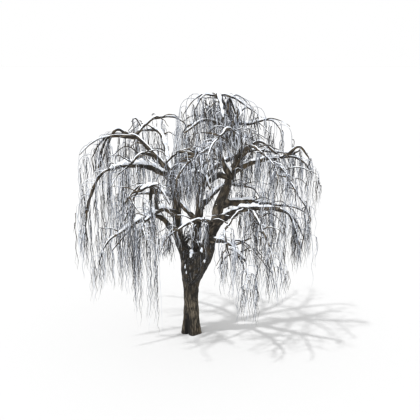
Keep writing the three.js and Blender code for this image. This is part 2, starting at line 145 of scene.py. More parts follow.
# Boughs: name, parent, share of the parent's length, heading, reach, height of the crest, the
# crest's share of the reach, how far it bows to the left, height of the tip, radius at foot and end
BOUGHS = [
    ("low_left", "left_stem", 0.23, -146, 3.45, 6.15, 0.38, -0.09, 5.5, 0.12, 0.042),
    ("left_elbow", "left_stem", 0.37, -126, 2.35, 6.5, 0.5, 0, 6.15, 0.125, 0.045),
    ("front_left", "left_elbow", 0.62, -111, 2.5, 7.75, 0.36, 0.24, 7.8, 0.068, 0.038),
    ("front_hook", "leader", 0.31, -135, 2.53, 6.02, 0.5, 0, 5.75, 0.075, 0.038),
    ("low_right", "leader", 0.32, -36, 3.32, 6.62, 0.5, -0.21, 6.8, 0.165, 0.062),
    ("low_right_front", "low_right", 0.65, -72, 1.82, 6.3, 0.5, 0, 5.75, 0.062, 0.036),
    ("low_front", "low_right", 0.56, -118, 1.95, 6.56, 0.5, 0, 6.15, 0.068, 0.038),
    ("low_right_back", "leader", 0.42, 27, 2.99, 6.56, 0.5, 0, 6.25, 0.15, 0.045),
    ("foot_right", "leader", 0.22, -61, 3.3, 5.08, 0.5, 0.07, 4.65, 0.11, 0.04),
    ("low_back_left", "middle_stem", 0.27, 138, 3.93, 6.6, 0.5, 0, 6.4, 0.12, 0.042),
    ("low_back_right", "middle_stem", 0.35, 53, 3.81, 7.0, 0.5, 0, 6.7, 0.115, 0.042),
    ("mid_left", "left_stem", 0.59, -159, 2.95, 8.52, 0.5, 0.1, 8.4, 0.115, 0.052),
    ("inner_left", "left_stem", 0.74, -114, 2.62, 9.08, 0.5, 0, 8.7, 0.075, 0.036),
    ("mid_right", "leader", 0.6, -9, 2.6, 8.7, 0.5, 0, 8.9, 0.118, 0.05),
    ("right_drop", "mid_right", 0.74, -51, 1.67, 8.23, 0.5, 0, 7.35, 0.046, 0.034),
    ("front_arch", "leader", 0.57, -122, 3.06, 9.35, 0.5, 0, 9.2, 0.11, 0.04),
    ("back_left", "left_stem", 0.58, 116, 3.3, 9.7, 0.5, -0.19, 9.75, 0.105, 0.04),
    ("back", "middle_stem", 0.5, 101, 2.97, 8.75, 0.5, 0, 8.5, 0.1, 0.04),
    ("back_right", "middle_stem", 0.77, 70, 2.31, 9.4, 0.5, 0, 9.2, 0.062, 0.038),
    ("high_left", "left_stem", 0.91, 60, 2.7, 10.33, 0.5, 0, 10.4, 0.066, 0.036),
    ("high_back", "leader", 0.84, 133, 2.57, 10.55, 0.5, 0, 10.25, 0.068, 0.038),
    ("top_arch", "leader", 0.9, 178, 0.8, 11.45, 0.5, 0, 11.7, 0.05, 0.036),
    ("high_right", "leader", 0.88, 30, 1.7, 10.3, 0.5, 0, 10.45, 0.056, 0.036),
    ("front_high", "leader", 0.76, -110, 3.07, 10.3, 0.5, 0, 10.05, 0.08, 0.036),
    ("right_front", "leader", 0.68, -66, 2.6, 9.5, 0.5, 0, 9.25, 0.085, 0.038),
]

# How each limb grows on and is dressed: the reach, the drop and the turn of its spray, the height
# of its twigs' hem, how thickly they grow on the limb and on the spray, how stout the spray's end
# looks, its snow, and the limb's snow: from and to as shares of its length, and its depth
Growth = namedtuple("Growth", "reach drop turn hem twigs end_twigs end_girth end_snow snow")
PLAIN = (0.75, 0.035, (0.15, 0.97, 0.085))  # the end's girth, its snow and the limb's, on many
GROWTH = {
    "left_stem": Growth(1.5, 1.3, 0, 5.3, 1.1, 0.5, 1.0, 0.03, (0.5, 0.98, 0.045)),
    "leader": Growth(1.4, 0.5, 150, 8.8, 4.3, 1.0, 0.6, 0.06, (0.15, 0.97, 0.085)),
    "middle_stem": Growth(1.55, 0.5, -20, 5.2, 1.1, 0.15, 0.7, 0.06, (0.5, 0.98, 0.09)),
    "low_left": Growth(0.85, 1.15, 0, 1.9, 4.5, 0.1, 0.8, 0.07, (0.2, 0.95, 0.15)),
    "left_elbow": Growth(0.95, 0.7, 45, 0.8, 0.5, 0.75, 0.75, 0.035, (0.25, 0.97, 0.16)),
    "front_left": Growth(1.35, 1.3, 60, 5.9, 0.6, 0.45, 0.5, 0, (0.22, 0.8, 0.13)),
    "front_hook": Growth(0.75, 0.9, -25, 4.6, 1.8, 0.1, 0.75, 0.035, (0.1, 0.97, 0.06)),
    "low_right": Growth(1.25, 1.3, 20, 3.3, 1.9, 0.2, 0.75, 0.035, (0.14, 0.97, 0.11)),
    "low_right_front": Growth(0.95, 1.2, 0, 2.9, 3.2, 1.0, 0.6, 0.02, (0.1, 0.8, 0.035)),
    "low_front": Growth(0.9, 0.7, 35, 3.0, 0.6, 0.3, 1.2, 0.02, (0.1, 0.9, 0.02)),
    "low_right_back": Growth(1.7, 0.55, -10, 3.0, 2.6, 0.1, *PLAIN),
    "foot_right": Growth(1.0, 1.1, -25, 1.8, 0.5, 0.7, 0.45, 0.03, (0.15, 0.97, 0.085)),
    "low_back_left": Growth(1.5, 0.9, 0, 1.6, 1.3, 0.8, *PLAIN),
    "low_back_right": Growth(1.5, 0.9, 0, 3.0, 1.0, 1.5, *PLAIN),
    "mid_left": Growth(1.15, 2.0, 5, 3.0, 1.4, 0.4, 2.0, 0.09, (0.16, 0.99, 0.2)),
    "inner_left": Growth(1.2, 0.9, -10, 4.3, 0.8, 0.6, 0.4, 0, (0.2, 0.8, 0.03)),
    "mid_right": Growth(1.15, 0.85, 8, 5.4, 1.3, 0.12, 0.7, 0.06, (0.15, 0.97, 0.075)),
    "right_drop": Growth(0.75, 1.1, 10, 4.3, 1.3, 0.1, 0.75, 0.035, (0.1, 0.97, 0.03)),
    "front_arch": Growth(1.5, 0.9, 0, 7.3, 1.6, 1.8, 1.2, 0.01, (0.1, 0.9, 0.02)),
    "back_left": Growth(1.4, 0.9, 0, 4.6, 1.9, 1.5, *PLAIN),
    "back": Growth(1.3, 0.8, 10, 4.6, 2.6, 2.4, *PLAIN),
    "back_right": Growth(1.3, 0.8, 0, 4.3, 2.2, 1.0, *PLAIN),
    "high_left": Growth(1.25, 0.5, -25, 6.3, 1.2, 0.1, *PLAIN),
    "high_back": Growth(1.2, 0.7, 0, 7.0, 1.5, 0.1, 0.8, 0.05, (0.15, 0.97, 0.085)),
    "top_arch": Growth(1.4, 0.9, 0, 8.7, 4.5, 0.15, 0.5, 0.06, (0.15, 0.97, 0.085)),
    "high_right": Growth(1.05, 0.5, 0, 7.3, 0.7, 0.05, 0.6, 0.06, (0.05, 0.97, 0.09)),
    "front_high": Growth(1.3, 0.8, 0, 9.5, 4.0, 2.0, 0.75, 0.035, (0.3, 0.9, 0.035)),
    "right_front": Growth(1.3, 0.8, 0, 5.8, 1.0, 1.0, 0.7, 0.01, (0.2, 0.9, 0.01)),
}
SPRAY_STEPS = 12
SET_OFF = 0.45  # how far a spray first carries its limb on, as a share of its reach
SHOULDER_BACK = 0.25  # the point that it turns down from: back from its end, in reaches,
SHOULDER_RISE = 0.1  # above its end, in reaches,
SHOULDER_DROP = 0.55  # and above its end, in drops
SPRAY_RADIUS = 0.032  # of a spray's stem at its end


def numbers_from(seed):
    """The same repeatable stream of numbers from 0 to 1 that the solids draw on."""
    state = (seed * 7919 + 11) * 16807 % 2147483647
    while True:
        state = state * 16807 % 2147483647
        yield state / 2147483647


def along(heading):
    turn = math.radians(heading)
    return np.array([math.cos(turn), math.sin(turn), 0.0])


def smooth(stations, steps):
    """A smooth line of x, y, z and radius through the stations."""
    rows = np.array(stations, float)
    rows = np.vstack([2 * rows[0] - rows[1], rows, 2 * rows[-1] - rows[-2]])
    last = len(stations) - 1
    place = np.arange(steps + 1) / steps * last
    i = np.minimum(place.astype(int), last - 1)
    t = (place - i)[:, None]
    a, b, c, d = rows[i], rows[i + 1], rows[i + 2], rows[i + 3]
    bend = 2 * a - 5 * b + 4 * c - d
    twist = 3 * b - a - 3 * c + d
    return b + 0.5 * (t * (c - a) + t**2 * bend + t**3 * twist)


def gnarled(line, seed):
    """The same line with the small kinks of an old limb; its ends stay where they are."""
    draw = numbers_from(seed)
    bent = line.copy()
    for i, (*_, radius) in enumerate(line):
        shift = np.array([next(draw) - 0.5 for _ in range(3)])
        if 1 < i < len(line) - 1:
            bent[i, :3] += 2 * KNUCKLE * radius * shift
    return bent


def lengths_along(line):
    steps = np.linalg.norm(np.diff(line[:, :3], axis=0), axis=1)
    return np.concatenate([[0], np.cumsum(steps)])


def point_on(line, share):
    """x, y, z and radius at a share of a line's length, or at many shares."""
    run = lengths_along(line)
    return np.stack([np.interp(share * run[-1], run, line[:, k]) for k in range(4)], axis=-1)


def part_of(line, start, end, spacing):
    """The line between two shares of its length, as even points about spacing apart."""
    count = max(3, round((end - start) * lengths_along(line)[-1] / spacing))
    return point_on(line, np.linspace(start, end, count + 1))


def curve_of(line, start, end, spacing):
    """The same, on a smooth curve through the points of the line."""
    return part_of(smooth(line, 8 * (len(line) - 1)), start, end, spacing)


def unit(vectors):
    return vectors / np.maximum(np.linalg.norm(vectors, axis=-1, keepdims=True), 1e-9)


def directions_along(line):
    """The direction at each point of a line, or of many lines with as many points each."""
    points = line[..., :3]
    steps = np.empty_like(points)
    steps[..., 1:-1, :] = points[..., 2:, :] - points[..., :-2, :]
    steps[..., 0, :] = points[..., 1, :] - points[..., 0, :]
    steps[..., -1, :] = points[..., -1, :] - points[..., -2, :]
    return unit(steps)


def frames_along(line):
    """The direction at each point, and two directions across it that never twist."""
    directions = directions_along(line)
    start = np.array([1.0, 0, 0]) if abs(directions[0][2]) > 0.9 else UP
    sides = np.empty_like(directions)
    side = start
    for i, direction in enumerate(directions):
        side = unit(side - direction * side.dot(direction))
        sides[i] = side
    return directions, sides, np.cross(directions, sides)


def corners_of(sides):
    """The angles of the corners of a ring."""
    return 2 * math.pi * np.arange(sides) / sides


def ways_round(side, across, angles):
    """The directions at these angles round each point of a line."""
    sideways = np.cos(angles)[:, None] * side[..., None, :]
    return sideways + np.sin(angles)[:, None] * across[..., None, :]


# The limbs, on the same lines as the solids
def bough_line(parent, at, heading, reach, crest, crest_at, bow, tip, foot, end, seed):
    start = point_on(parent, at)
    middle = start[:3] + along(heading) * reach * crest_at + along(heading + 90) * bow
    finish = start[:3] + along(heading) * reach
    stations = [
        (*start[:3], foot),
        (middle[0], middle[1], crest, foot + (end - foot) * crest_at),
        (finish[0], finish[1], tip, end),
    ]
    return gnarled(smooth(stations, BOUGH_STEPS), seed)


limbs = {}
for number, (name, stations) in enumerate(STEMS.items()):
    limbs[name] = gnarled(smooth(stations, STEM_STEPS), number + 1)
for number, (name, parent, *sizes) in enumerate(BOUGHS):
    limbs[name] = bough_line(limbs[parent], *sizes, number + 21)

spray_stems = {}
for name, (reach, drop, turn, *_) in GROWTH.items():
    line = limbs[name]
    onward = directions_along(line)[-1]
    heading = math.degrees(math.atan2(onward[1], onward[0])) + turn
    out = along(heading)
    start = line[-1, :3]
    finish = start + out * reach - UP * drop
    set_off = start + onward * SET_OFF * reach
    shoulder = finish - out * SHOULDER_BACK * reach + UP * (SHOULDER_DROP * drop + SHOULDER_RISE * reach)
    t = (np.arange(SPRAY_STEPS + 1) / SPRAY_STEPS)[:, None]
    arch = (
        (1 - t) ** 3 * start
        + 3 * (1 - t) ** 2 * t * set_off
        + 3 * (1 - t) * t**2 * shoulder
        + t**3 * finish
    )
    radius = line[-1, 3] + (SPRAY_RADIUS - line[-1, 3]) * t
    spray_stems[name] = (heading, np.hstack([arch, radius]))


class Heap:
    """Points and faces of many shapes that become one mesh, with a height for the bark, which also carries
    the painted shade of the trunk's cleft.
    """

    def __init__(self):
        self.points, self.faces, self.heights = [], [], []
        self.count = 0

    def add(self, points, faces, heights=None):
        self.points.append(points)
        for group in faces:
            self.faces.extend((np.asarray(group) + self.count).tolist())
        self.heights.append(np.zeros(len(points)) if heights is None else heights)
        self.count += len(points)

    def tree(self):
        """The same points and faces, for a ray to meet."""
        return BVHTree.FromPolygons(np.concatenate(self.points).tolist(), self.faces)

    def piece(self, name, slot, finish, *nodes, shades=True):
        """The heap as one piece of the scene, in place of the solids' nodes."""
        mesh = bpy.data.meshes.new(name)
        mesh.from_pydata(np.concatenate(self.points).tolist(), [], self.faces)
        height = mesh.attributes.new("height", "FLOAT", "POINT")
        height.data.foreach_set("value", np.concatenate(self.heights).astype(np.float32))
        mesh.shade_smooth()
        mesh.materials.append(finish)
        made = placed(name, mesh)
        made.visible_shadow = shades
        made.visible_diffuse = shades
        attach(made, "root")
        if nodes:
            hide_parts(*nodes)


def ring_faces(rings, sides):
    """The faces between rings of points, and one face over each end."""
    i, j = np.meshgrid(np.arange(rings - 1), np.arange(sides), indexing="ij")
    i, j, k = i.ravel(), j.ravel(), ((j + 1) % sides).ravel()
    around = np.stack([i * sides + j, i * sides + k, (i + 1) * sides + k, (i + 1) * sides + j], axis=1)
    corners = np.arange(sides)[None, :]
    return around, corners[:, ::-1], (rings - 1) * sides + corners


def surface_gap(points, line):
    """How far points are from the surface of a round limb."""
    least = np.full(len(points), 1e9)
    for a, b in zip(line[:-1], line[1:]):
        step = b[:3] - a[:3]
        t = np.clip((points - a[:3]) @ step / (step @ step), 0, 1)
        away = np.linalg.norm(points - a[:3] - t[:, None] * step, axis=1)
        least = np.minimum(least, away - (a[3] + t * (b[3] - a[3])))
    return least


# Bark
FURROWS = 12  # furrows in a metre across the grain
FURROW_RUN = 2.2  # and along it
FURROW_SWAYS = (4, 1.1)  # bends of the furrows in a metre, across the grain and along it
CRACKS = (3 * FURROWS, 7)  # small cracks in a metre, across the grain and along it
PLATE_EDGE = 2.1  # how steeply a plate rises from its furrow
CRACK_SHARE = 0.2  # how much the small cracks count beside the furrows
PLATE_LIFT = 0.1
RELIEF_SHARE = 0.1  # depth of the furrows, as a share of the limb's radius
THICK_LIMB = 0.4  # on a limb stouter than this the furrows get no deeper
LIMB_LEVEL = 0.6  # the height in the bark that stays at the limb's own radius
RUN_APART = 10  # each limb's bark starts this much further along the noise
KNOTS = 2.4  # knots in a metre
KNOT_GIRTH = 0.5  # how much stouter a knot is, as a share of the limb's radius
KNOT_GIRTHS = 1.6  # how often the girth changes, beside the knots
KNOT_SHIFT = 0.035  # how far a knot stands off the line, in metres
COLLAR = 0.34  # how wide a limb swells where it joins another, in radii of the thinner one
FORK_COLLAR = 0.12
COLLAR_RUN = 4  # how far a collar runs, in its own widths
THIN_COLLAR = 0.04  # a limb thinner than this joins as if it were this thick
DEEP_CLEFT = 0.2  # the painted shade in a cleft deeper than this share of the radius grows no darker
# how strongly painted shade darkens the cleft
CLEFT_SHADE = 9


def bark_height(x, y, run):
    """0 in a furrow and 1 on top of a plate of bark."""
    sways, sways_along = FURROW_SWAYS
    cracks, cracks_along = CRACKS
    sway = noise.noise(Vector((x * sways, y * sways, run * sways_along)))
    furrow = noise.noise(Vector((x * FURROWS + sway, y * FURROWS - sway, run * FURROW_RUN)))
    crack = noise.noise(Vector((x * cracks, y * cracks, run * cracks_along)))
    plate = min(1, abs(furrow) * PLATE_EDGE)
    return plate * (1 - CRACK_SHARE) + CRACK_SHARE * crack + PLATE_LIFT


def knotty(line, seed, stoutness):
    """A limb's line with knots: stouter and thinner in turn, and never quite straight."""
    bent = line.copy()
    for i, (*at, radius) in enumerate(line):
        place = Vector(at) * KNOTS + Vector((seed, 0, 0))
        bent[i, 3] = radius * (stoutness + KNOT_GIRTH * noise.noise(place * KNOT_GIRTHS))
        if 0 < i < len(line) - 1:
            shift = noise.noise_vector(place)
            bent[i, :3] += KNOT_SHIFT * np.array(shift) * min(1, 4 * i / len(line))
    return bent


def skin(heap, line, sides, spacing, neighbours, seed, radius_at=None, stoutness=None, collar=COLLAR):
    """The bark of one limb: a tube with furrows that run along it, swollen where it meets others.
    Gives the line that the bark follows."""
    fine = curve_of(line, 0, 1, spacing)
    if stoutness:
        fine = knotty(fine, seed, stoutness)
    _, side, across = frames_along(fine)
    angles = corners_of(sides)
    outward = ways_round(side, across, angles)
    radius = np.repeat(fine[:, 3:4], sides, axis=1)
    if radius_at:
        radius = radius_at(fine, outward)
    girth = fine[:, 3].mean()
    run = lengths_along(fine) + RUN_APART * seed
    height = np.array(
        [[bark_height(girth * math.cos(a), girth * math.sin(a), r) for a in angles] for r in run]
    )
    points = fine[:, None, :3] + outward * radius[..., None]
    swell = np.zeros(radius.shape)
    for other in neighbours:
        width = collar * max(min(fine[0, 3], other[:, 3].max()), THIN_COLLAR)
        gap = surface_gap(points.reshape(-1, 3), other).reshape(radius.shape)
        near = np.clip(1 - np.maximum(gap, 0) / (COLLAR_RUN * width), 0, 1)
        swell = np.maximum(swell, width * near**2)
    relief = RELIEF_SHARE * np.minimum(fine[:, 3:4], THICK_LIMB) * (height - LIMB_LEVEL)
    points += outward * (relief + swell)[..., None]
    # The cleft gets painted shade: its height, which sets the bark's colour, is lowered there
    hollow = np.clip(1 - radius / fine[:, 3:4], 0, DEEP_CLEFT) if radius_at else 0
    shades = (height - CLEFT_SHADE * hollow).ravel()
    heap.add(points.reshape(-1, 3), ring_faces(len(fine), sides), shades)
    return fine


def trunk_radius(fine, outward):
    """The trunk's radius, widened by the root lobes and narrowed in the cleft."""
    heading = np.degrees(np.arctan2(outward[..., 1], outward[..., 0]))
    height = fine[:, 2:3]

    def turn(other):
        return np.abs((heading - other + 540) % 360 - 180)

    lobes = sum(np.exp(-((turn(middle) / LOBE_WIDTH) ** 2)) for middle in ROOT_LOBES)
    flare = np.maximum(0, 1 - height / FLARE_HEIGHT) ** 2
    in_cleft = np.exp(-((turn(CLEFT_HEADING) / CLEFT_WIDTH) ** 2))
    cleft = np.maximum(0, 1 - height / CLEFT_HEIGHT) * in_cleft
    return fine[:, 3:4] * (1 + FLARE_DEPTH * flare * lobes - CLEFT_DEPTH * cleft)


# Snow
SNOW_ARC = np.radians(np.linspace(-48, 48, 9))  # how far round a limb its snow reaches
SNOW_FOOT = [6, 4, 2]  # the corners of that arc that lie under the snow, inside the bark
SNOW_SINK = (0.95, 0.7)  # how far out the snow's edge and its foot lie, in radii of the limb
SNOW_SPACING = 0.035
SNOW_LUMPS = 5.5  # lumps of snow in a metre
SNOW_LUMPINESS = 0.9
SNOW_PATCHES = 0.28  # how often the snow has slid off, beside its lumps
SNOW_HOLD = (1.1, 5, 1.9)  # how well snow holds, how much better where deep, how unevenly
SNOW_SLOPE = (3, -1.85)  # how it thins on steep runs
SNOW_CROWN = 0.55  # how square its crown is: 1 is round
FULL_SNOW = 0.07  # snow less deep than this covers less of the limb's width
LEAST_SPREAD = 0.45
SPREAD_CHANGES = (0.3, 1.7)  # how much that width changes, and how often beside the lumps
RIDGE_SPACING = 0.09
RIDGE_SIDES = 4
RIDGE_PATCHES = 2.3  # patches of snow on a small branch, in a metre
RIDGE_HOLD = (0.55, 1.8)  # how well it holds there, and how unevenly
RIDGE_SLOPE = (1.7, -0.5)  # how it thins on steep runs
RIDGE_GIRTH = (0.35, 0.012)  # its radius, as a share of the branch's and in metres beside that
RIDGE_LIFT = 0.9  # how far above the branch's middle it lies, in radii of the branch
RIDGE_LEAST = 0.001  # its radius where there is none left
LUMP_WAVES = [(0.7, 1.3), (0.3, 4.5)]  # how uneven a lump is, and how often over its radius


def snow_cap(heap, line, start, end, thick, seed, clings=0):
    """A roll of snow along the top of a limb, lumpy, thin on steep runs and gone where it has slid."""
    fine = curve_of(line, start, end, SNOW_SPACING)
    along_it = directions_along(fine)
    level = unit(np.cross(along_it, UP))
    top = np.cross(level, along_it)
    count = len(fine)
    body = np.sin(np.pi * (np.arange(count) + 0.3) / (count - 0.4)) ** 0.4  # thin at both ends
    steepness, slope_start = SNOW_SLOPE
    flat = np.clip(np.hypot(along_it[:, 0], along_it[:, 1]) * steepness + slope_start, clings, 1)
    hold, deep_hold, uneven_hold = SNOW_HOLD
    change, changes = SPREAD_CHANGES
    edge, foot = SNOW_SINK
    rings = []
    for i, (*at, radius) in enumerate(fine):
        place = Vector(at) * SNOW_LUMPS + Vector((seed, 0, 0))
        held = hold + deep_hold * thick + uneven_hold * noise.noise(place * SNOW_PATCHES)
        depth = thick * body[i] * flat[i] * min(1, max(0, held))
        lumps = [1 + SNOW_LUMPINESS * noise.noise(place + Vector((0, 0, a))) for a in SNOW_ARC]
        spread = LEAST_SPREAD + (1 - LEAST_SPREAD) * min(1, depth / FULL_SNOW)
        spread *= 1 + change * noise.noise(place * changes)
        outer = edge * radius + depth * np.cos(SNOW_ARC * 0.98) ** SNOW_CROWN * lumps
        inner = np.full(len(SNOW_FOOT), foot * radius)
        angles = np.concatenate([SNOW_ARC, SNOW_ARC[SNOW_FOOT]]) * spread
        reach = np.concatenate([outer, inner])[:, None]
        way = np.sin(angles)[:, None] * level[i] + np.cos(angles)[:, None] * top[i]
        rings.append(np.array(at) + reach * way)
    heap.add(np.concatenate(rings), ring_faces(count, len(angles)))


def snow_ridge(heap, line, start, end, seed):
    """A thin line of snow along the top of a small branch, broken here and there."""
    fine = part_of(line, start, end, RIDGE_SPACING)
    along_it, side, across = frames_along(fine)
    flat = np.hypot(along_it[:, 0], along_it[:, 1])
    places = [Vector(at) * RIDGE_PATCHES + Vector((seed, 0, 0)) for at in fine[:, :3]]
    uneven = np.array([noise.noise(place) for place in places])
    hold, uneven_hold = RIDGE_HOLD
    steepness, slope_start = RIDGE_SLOPE
    share, more = RIDGE_GIRTH
    held = np.clip(hold + uneven_hold * uneven, 0, 1)
    depth = np.clip(flat * steepness + slope_start, 0, 1) * held
    thick = (share * fine[:, 3] + more) * depth
    thick[[0, -1]] = 0
    middle = fine[:, :3] + UP * (RIDGE_LIFT * fine[:, 3:4] * depth[:, None])
    ring = ways_round(side, across, corners_of(RIDGE_SIDES))
    points = middle[:, None] + ring * (thick + RIDGE_LEAST)[:, None, None]
    heap.add(points.reshape(-1, 3), ring_faces(len(fine), RIDGE_SIDES))


def snow_lump(heap, place, size, seed):
    """A heap of snow in a fork: a ball pressed flat and made uneven."""
    ball = bmesh.new()
    bmesh.ops.create_icosphere(ball, subdivisions=4, radius=1)
    points = []
    starts = Vector((seed, 0, 0)), Vector((0, seed, 0))
    for vertex in ball.verts:
        uneven = 1
        for (height, often), start in zip(LUMP_WAVES, starts):
            uneven += height * noise.noise(vertex.co * often + start)
        points.append([place[k] + size[k] * uneven * vertex.co[k] for k in range(3)])
    faces = np.array([[v.index for v in face.verts] for face in ball.faces])
    ball.free()
    heap.add(np.array(points), (faces,))


# Twigs
RISE = 0.16  # how high a strand springs from its root, as a share of its reach
BEND_DOWN = 0.7  # and how far it then comes down, before it hangs
SWAY = 0.024  # how far a strand's end wanders, as a share of its fall
WAVE = 0.043  # how far it waves from side to side, in metres
WAVE_RUN = (0.6, 1.3)  # the length of one wave, shortest and longest
SHAKE = 0.005  # small kinks on the way down
TWIG_SHOULDER = 0.8  # how thick a strand still is where it begins to hang, as a share of its root
TWIG_POINT = 0.18  # and how thick at its end
SPRING_BENDS = 6
SPRING_HANGS = 14
STRAND_BENDS = 2
STRAND_HANGS = 12
WISP_HANGS = 4
OVER_REACH = (0.08, 0.08, 0.15)  # how far a twig may pass the solids' box, in metres
EDGE = 0.12  # how far inside that box a strand hangs
SHORT_REACH = 0.06  # a strand's reach is cut no shorter than this


def held_in(points):
    """Points of the crown, kept to the reach that the solids have."""
    low, high = np.array(cad_box)
    return np.clip(points, low - OVER_REACH, high + OVER_REACH)


def room_for(root, heading, reach):
    """The reach, shortened where it would leave the crown."""
    low, high = np.array(cad_box)[:, :2]
    while reach > SHORT_REACH:
        x, y = (root + reach * along(heading))[:2]
        if low[0] + EDGE < x < high[0] - EDGE and low[1] + EDGE < y < high[1] - EDGE:
            return reach
        reach *= 0.8
    return reach


def strand(root, heading, reach, fall, radius, bends, hangs):
    """A strand: it springs from its root along a heading, bends over and hangs in waves to a point."""
    reach = room_for(root, heading, reach)
    u = np.linspace(0, math.pi / 2, bends + 1)[:, None]
    rise = RISE * np.sin(2 * u) - BEND_DOWN * (1 - np.cos(u))
    arc = root + reach * (along(heading) * np.sin(u) + UP * rise)
    t = np.linspace(0, 1, hangs + 1)[1:, None]
    drift = chance.normal(0, SWAY * fall, 2)
    run = chance.uniform(*WAVE_RUN, 2)
    start = chance.uniform(0, 2 * math.pi, 2)
    grown = np.minimum(1, 3 * t)
    wave = WAVE * grown * (np.sin(2 * math.pi * fall * t / run + start) - np.sin(start))
    hung = arc[-1] - UP * fall * t
    hung[:, :2] += drift * t + wave + chance.normal(0, SHAKE, (hangs, 2))
    hung_thick = TWIG_SHOULDER - (TWIG_SHOULDER - TWIG_POINT) * t[:, 0]
    thick = np.concatenate([np.linspace(1, TWIG_SHOULDER, bends + 1), hung_thick])
    return np.hstack([held_in(np.vstack([arc, hung])), radius * thick[:, None]])


def strands_into(heap, twigs, sides):
    """Twigs, each a line and its heading, all with as many points, as thin pointed tubes."""
    lines = np.array([line for line, _ in twigs])
    level = np.array([along(heading + 90) for _, heading in twigs])[:, None]
    points, radii = lines[..., :3], lines[..., 3]
    onward = directions_along(lines)
    side = unit(np.cross(onward, level))
    across = np.cross(onward, side)
    rings = points.shape[1] - 1
    outward = ways_round(side[:, :-1], across[:, :-1], corners_of(sides))
    ring = points[:, :-1, None] + radii[:, :-1, None, None] * outward
    flat = np.concatenate([ring.reshape(len(lines), -1, 3), points[:, -1:]], axis=1)
    each = rings * sides + 1
    around, start, _ = ring_faces(rings, sides)
    last = (rings - 1) * sides
    tip = np.array([[last + j, last + (j + 1) % sides, each - 1] for j in range(sides)])
    first = (np.arange(len(lines)) * each)[:, None, None]
    faces = [(group[None] + first).reshape(-1, group.shape[1]) for group in (around, start, tip)]
    heap.add(flat.reshape(-1, 3), faces)


class Number:
    """A number in a material. Sums on it add the nodes that work them out."""

    def __init__(self, finish, socket):
        self.finish, self.socket = finish, socket

    def sum(self, operation, *values):
        return self.finish.node("Math", {"operation": operation}, dict(enumerate(values)))["Value"]

    def __add__(self, other):
        return self.sum("ADD", self, other)

    def __sub__(self, other):
        return self.sum("SUBTRACT", self, other)

    def __rsub__(self, other):
        return self.sum("SUBTRACT", other, self)

    def __mul__(self, other):
        return self.sum("MULTIPLY", self, other)

    __radd__ = __add__

    def between(self, low, high):
        """0 below low, 1 above high, and smooth in between."""
        values = {"Value": self, "From Min": low, "From Max": high}
        return self.finish.node("MapRange", {"interpolation_type": "SMOOTHSTEP"}, values)["Result"]


MIX_SOCKETS = (0, 6, 7)  # the places of a colour mix's factor and its two colours
MIX_COLOUR = 2  # and of the colour that it gives


class Finish:
    """A material and its shader."""

    def __init__(self, name):
        self.material = bpy.data.materials.new(name)
        self.material.use_nodes = True
        self.nodes = self.material.node_tree.nodes
        self.links = self.material.node_tree.links
        self.shader = self.nodes["Principled BSDF"]

    def fill(self, made, values):
        for name, value in values.items():
            socket = made.inputs[name]
            if isinstance(value, Number):
                self.links.new(value.socket, socket)
            else:
                socket.default_value = value

    def node(self, kind, settings, values):
        """A node of a kind, with its settings and then its values.
        Gives its outputs by name and by place."""
        made = self.nodes.new("ShaderNode" + kind)
        for name, value in settings.items():
            if name == "stops":
                ramp = made.color_ramp.elements
                while len(ramp) < len(value):
                    ramp.new(0.5)
                for stop, (place, colour) in zip(ramp, value):
                    stop.position, stop.color = place, colour
            else:
                setattr(made, name, value)
        self.fill(made, values)
        outputs = {out.name: Number(self, out) for out in reversed(made.outputs)}
        return outputs | {place: Number(self, out) for place, out in enumerate(made.outputs)}

    def noise(self, scale, detail, where=None):
        where = where or self.node("TexCoord", {}, {})["Object"]
        values = {"Vector": where, "Scale": scale, "Detail": detail}
        return self.node("TexNoise", {}, values)["Fac"]

    def mixed(self, mask, below, above):
        """The colour below where the mask is 0, and above where it is 1."""
        values = dict(zip(MIX_SOCKETS, (mask, below, above)))
        return self.node("Mix", {"data_type": "RGBA"}, values)[MIX_COLOUR]

    def finished(self, colour, roughness, relief, strength, depth):
        """The material, with its colour, its roughness and its relief."""
        values = {"Height": relief, "Strength": strength, "Distance": depth}
        normal = self.node("Bump", {}, values)["Normal"]
        self.fill(self.shader, {"Base Color": colour, "Roughness": roughness, "Normal": normal})
        return self.material


def tone(red, green, blue, dark=1):
    """A colour, all of it darkened alike."""
    return (red * dark, green * dark, blue * dark, 1)


# Heights on the trunk where the looks of its bark begin and end, each from one height to another
PALE_FROM = (0.9, 1.3)
PALE_TO = (1.6, 2.0)
# The dark band from DARK_FROM up to DARK_TO is painted shade below the fork
DARK_FROM = (1.9, 2.2)
DARK_TO = (5.0, 6.4)
STREAKS_FROM = (2.0, 3.2)
STREAKS_TO = (4.4, 5.5)
STREAK_GRAIN = (46, 46, 0.9)  # blown snow lies on the upper trunk in upright streaks


